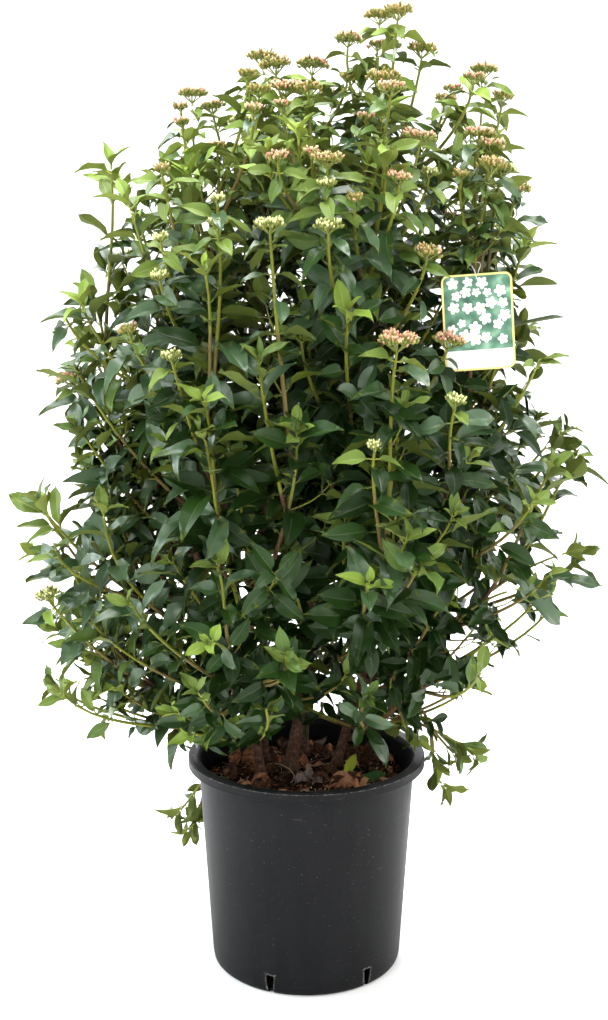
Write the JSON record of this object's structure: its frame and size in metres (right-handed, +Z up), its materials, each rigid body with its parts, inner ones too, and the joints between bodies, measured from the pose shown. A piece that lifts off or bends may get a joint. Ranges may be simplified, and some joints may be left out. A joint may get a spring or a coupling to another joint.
{
  "type": "potted laurustinus",
  "caption": "Bushy evergreen flowering shrub, pointed-oval leaves on upright shoots with domed bud heads, in a round tapered nursery pot.",
  "frame": {"origin": "the middle of the pot's flat underside", "axes": "+Z up, the picture's viewer stands towards -Y, +X to the viewer's right"},
  "size_m": [0.751, 0.725, 1.177],
  "materials": {
    "pot_plastic": "moulded black polypropylene, scuffed",
    "compost": "moist bark compost",
    "bark": "fine-grained young bark",
    "foliage": "glossy evergreen leaves, paler beneath",
    "label_card": "printed plastic card",
    "label_tie": "white plastic tie"
  },
  "bodies": {
    "root": {"bough_lower_1": "bark", "bough_lower_2": "bark", "bough_lower_3": "bark", "bough_lower_4": "bark", "bough_lower_5": "bark", "bough_middle_1": "bark", "bough_middle_2": "bark", "bough_middle_3": "bark", "bough_middle_4": "bark", "bough_middle_5": "bark", "bough_middle_6": "bark", "bough_skirt_back": "bark", "bough_skirt_left": "bark", "bough_skirt_right": "bark", "bough_upper_1": "bark", "bough_upper_2": "bark", "bough_upper_3": "bark", "bough_upper_4": "bark", "bough_upper_5": "bark", "bough_upper_6": "bark", "bough_upper_7": "bark", "foliage_lower_1": "foliage", "foliage_lower_2": "foliage", "foliage_lower_3": "foliage", "foliage_lower_4": "foliage", "foliage_lower_5": "foliage", "foliage_middle_1": "foliage", "foliage_middle_2": "foliage", "foliage_middle_3": "foliage", "foliage_middle_4": "foliage", "foliage_middle_5": "foliage", "foliage_middle_6": "foliage", "foliage_skirt_back": "foliage", "foliage_skirt_left": "foliage", "foliage_skirt_right": "foliage", "foliage_top_back": "foliage", "foliage_top_centre": "foliage", "foliage_top_far_left": "foliage", "foliage_top_left": "foliage", "foliage_top_right": "foliage", "foliage_upper_1": "foliage", "foliage_upper_2": "foliage", "foliage_upper_3": "foliage", "foliage_upper_4": "foliage", "foliage_upper_5": "foliage", "foliage_upper_6": "foliage", "foliage_upper_7": "foliage", "label_card": "label_card", "label_tie": "label_tie", "pot": "pot_plastic", "soil": "compost", "stem_back": "bark", "stem_centre": "bark", "stem_far_left": "bark", "stem_left": "bark", "stem_right": "bark"}
  },
  "joints": []
}
